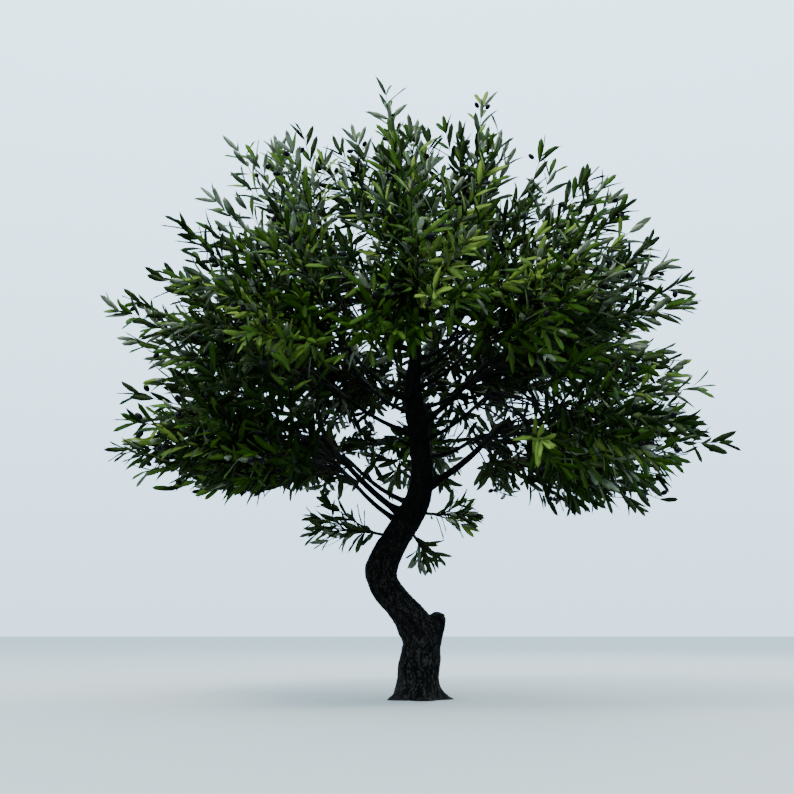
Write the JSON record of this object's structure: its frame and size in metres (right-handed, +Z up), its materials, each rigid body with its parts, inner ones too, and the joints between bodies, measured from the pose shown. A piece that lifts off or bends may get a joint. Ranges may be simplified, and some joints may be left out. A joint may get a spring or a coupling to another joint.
{
  "type": "artificial olive tree",
  "caption": "Artificial olive tree with an S-bent trunk on a flared foot and a wide domed head of narrow leaves and dark olives.",
  "frame": {"origin": "middle of the flat cut under the trunk, at ground level", "axes": "+Z up, +X to the right and +Y away from the side that the tree is mostly seen from"},
  "size_m": [2.5314, 2.1687, 2.5192],
  "materials": {
    "bark": "dark grey-brown bark with fine upright fissures",
    "foliage": "satin green leaves, grey-green underneath, on thin grey-brown twigs"
  },
  "bodies": {
    "root": {"trunk": "bark", "bough_low_left_front": "bark", "bough_low_left": "bark", "bough_low_left_back": "bark", "bough_low_back": "bark", "bough_low_right_back": "bark", "bough_low_right": "bark", "bough_low_right_front": "bark", "bough_mid_left": "bark", "bough_mid_left_back": "bark", "bough_mid_back": "bark", "bough_mid_right_back": "bark", "bough_mid_right": "bark", "bough_mid_right_front": "bark", "bough_mid_front": "bark", "bough_mid_left_front": "bark", "bough_high_left": "bark", "bough_high_left_back": "bark", "bough_high_right_back": "bark", "bough_high_right": "bark", "bough_high_front": "bark", "bough_top_right": "bark", "foliage_low_left_front": "foliage", "foliage_low_left": "foliage", "foliage_low_left_back": "foliage", "foliage_low_back": "foliage", "foliage_low_right_back": "foliage", "foliage_low_right": "foliage", "foliage_low_right_front": "foliage", "foliage_mid_left": "foliage", "foliage_mid_left_back": "foliage", "foliage_mid_back": "foliage", "foliage_mid_right_back": "foliage", "foliage_mid_right": "foliage", "foliage_mid_right_front": "foliage", "foliage_mid_front": "foliage", "foliage_mid_left_front": "foliage", "foliage_high_left": "foliage", "foliage_high_left_back": "foliage", "foliage_high_right_back": "foliage", "foliage_high_right": "foliage", "foliage_high_front": "foliage", "foliage_top_right": "foliage", "foliage_top": "foliage", "foliage_low_spray_left": "foliage", "foliage_low_spray_right": "foliage", "foliage_low_spray_hanging": "foliage"}
  },
  "joints": []
}
